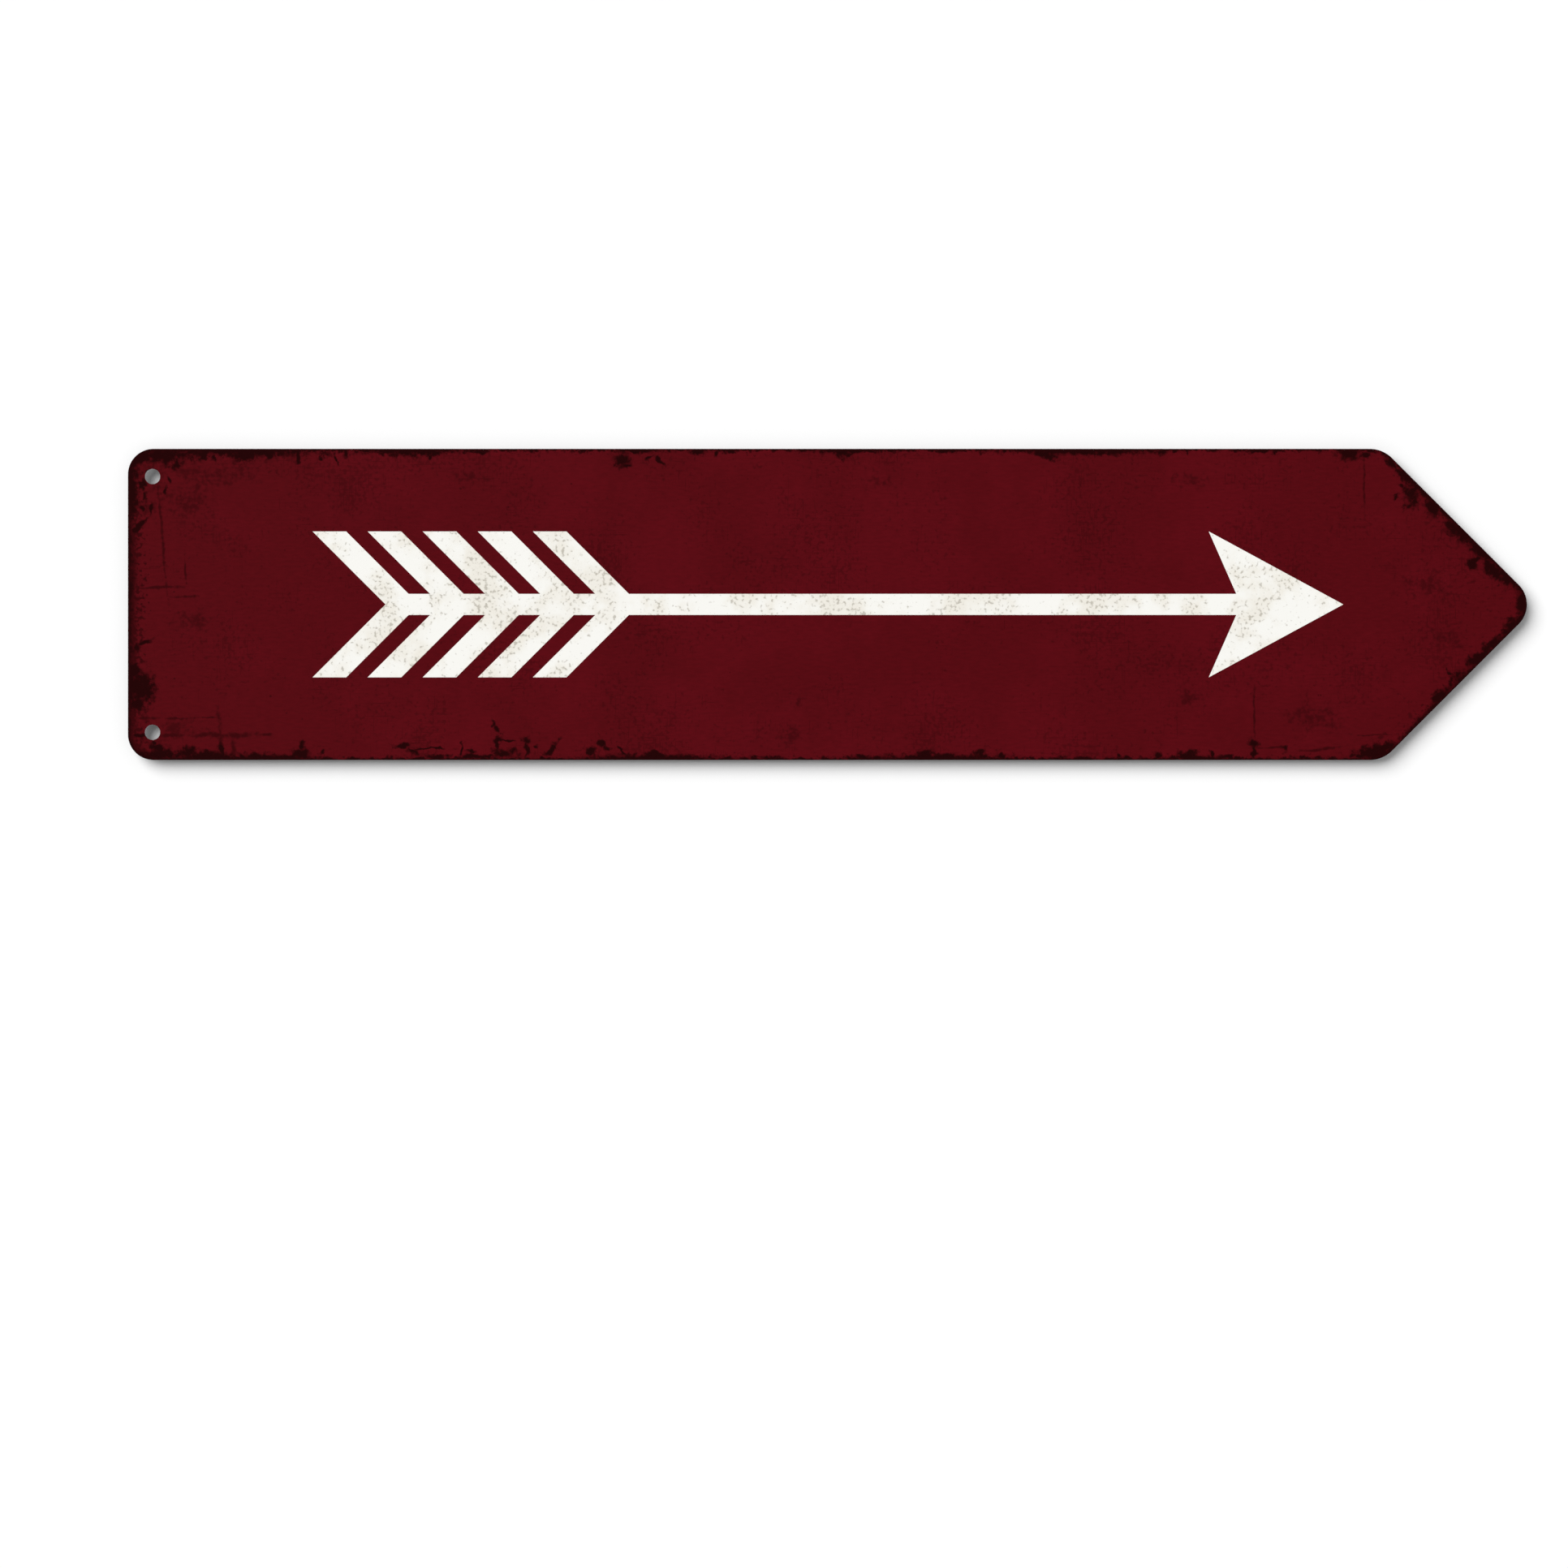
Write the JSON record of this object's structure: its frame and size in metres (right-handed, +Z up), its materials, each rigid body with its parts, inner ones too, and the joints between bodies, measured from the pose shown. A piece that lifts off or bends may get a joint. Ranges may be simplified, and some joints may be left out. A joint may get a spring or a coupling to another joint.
{
  "type": "directional arrow sign",
  "caption": "Flat aluminium sign cut to an arrow that points right, with a weathered print on its front and fixing holes at its tail corners, for a wall, fence or post.",
  "frame": {"origin": "on the back face, midway between the two fixing holes at the tail", "axes": "+X along the sign towards its point, +Z up, +Y into the wall behind it; the printed face looks along -Y"},
  "size_m": [0.4572, 0.001, 0.1016],
  "materials": {
    "sheet_metal": "brushed, bare on the back and the cut edges",
    "maroon_print": "satin print with dark printed wear",
    "cream_print": "satin print with dark printed wear"
  },
  "bodies": {
    "root": {"sign_plate": "sheet_metal"}
  },
  "joints": []
}
